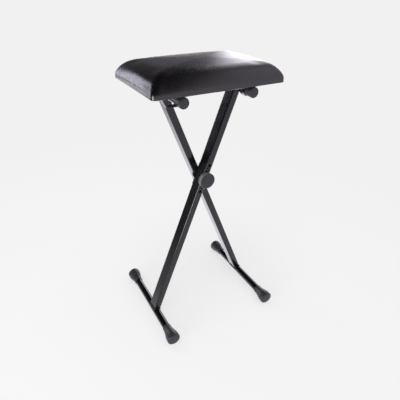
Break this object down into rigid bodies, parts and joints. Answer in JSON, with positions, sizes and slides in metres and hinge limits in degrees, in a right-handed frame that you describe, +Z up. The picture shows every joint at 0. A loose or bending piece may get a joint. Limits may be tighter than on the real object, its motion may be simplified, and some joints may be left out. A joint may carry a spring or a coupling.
{
  "type": "folding keyboard bench",
  "caption": "Folding keyboard bench: a padded rectangular seat on crossed steel tube legs that lock at a central hand knob, with capped cross tubes for feet.",
  "frame": {"origin": "on the floor, under the middle of the seat and of the four feet", "axes": "+X to the seat's right as seen from the knob's side, along the seat's width, +Y to the back, along the feet, +Z up"},
  "size_m": [0.368, 0.325, 0.7418],
  "materials": {
    "frame_paint": "black, semi-gloss powder coat",
    "weld_paint": "black powder coat over a weld bead",
    "cap_plastic": "dark grey moulded plastic, satin",
    "bright_zinc": "zinc plated steel",
    "spring_steel": "bare spring wire",
    "black_steel": "black coated steel, on the pressed brackets, clutch plates and rivets",
    "black_nylon": "black nylon, satin",
    "knob_plastic": "dark grey moulded plastic, fine texture",
    "vinyl": "black upholstery vinyl, semi-gloss, fine grain",
    "plywood": "raw plywood",
    "under_felt": "black non-woven dust cover"
  },
  "bodies": {
    "front_frame": {"front_leg": "frame_paint", "left_foot_weld": "weld_paint", "right_top_weld": "weld_paint", "front_leg_sleeve": "bright_zinc", "front_clutch_plate": "black_steel", "front_lower_rivet": "black_steel", "front_upper_rivet": "black_steel", "left_foot_tube": "frame_paint", "left_foot_front_cap": "cap_plastic", "left_foot_rear_cap": "cap_plastic", "right_top_tube": "frame_paint", "right_top_front_cap": "cap_plastic", "right_top_rear_cap": "cap_plastic"},
    "rear_frame": {"rear_leg": "frame_paint", "right_foot_weld": "weld_paint", "left_top_weld": "weld_paint", "rear_leg_sleeve": "bright_zinc", "rear_clutch_plate": "black_steel", "rear_lower_rivet": "black_steel", "rear_upper_rivet": "black_steel", "right_foot_tube": "frame_paint", "right_foot_front_cap": "cap_plastic", "right_foot_rear_cap": "cap_plastic", "left_top_tube": "frame_paint", "left_top_front_cap": "cap_plastic", "left_top_rear_cap": "cap_plastic", "pivot_bolt": "bright_zinc", "release_spring": "spring_steel", "thrust_washer": "bright_zinc"},
    "knob": {"pivot_knob": "knob_plastic", "knob_nut": "bright_zinc"},
    "seat": {"seat_board": "plywood", "seat_cushion": "vinyl", "seat_under_cover": "under_felt", "right_front_strap": "black_steel", "right_rear_strap": "black_steel", "right_front_saddle": "black_nylon", "right_rear_saddle": "black_nylon", "left_front_hook": "black_steel", "left_rear_hook": "black_steel", "left_front_slide_rail": "black_nylon", "left_rear_slide_rail": "black_nylon", "right_front_inner_screw": "bright_zinc", "right_front_outer_screw": "bright_zinc", "right_rear_inner_screw": "bright_zinc", "right_rear_outer_screw": "bright_zinc", "left_front_screw_a": "bright_zinc", "left_front_screw_b": "bright_zinc", "left_rear_screw_a": "bright_zinc", "left_rear_screw_b": "bright_zinc"}
  },
  "joints": [
    {"name": "fold", "type": "hinge", "parent": "front_frame", "child": "rear_frame", "pos_m": [0, 0, 0.438], "axis": [0, 1, 0], "range_deg": [-5.2, 33]},
    {"name": "seat_hinge", "type": "hinge", "parent": "front_frame", "child": "seat", "pos_m": [0.0928, 0, 0.674], "axis": [0, 1, 0], "range_deg": [-2.7, 16.6]},
    {"name": "knob_turn", "type": "hinge", "parent": "rear_frame", "child": "knob", "pos_m": [0, -0.05, 0.438], "axis": [0, -1, 0], "range_deg": [0, 360]}
  ],
  "couplings": [
    {"joint": "seat_hinge", "follows": "fold", "ratio": 0.5}
  ]
}
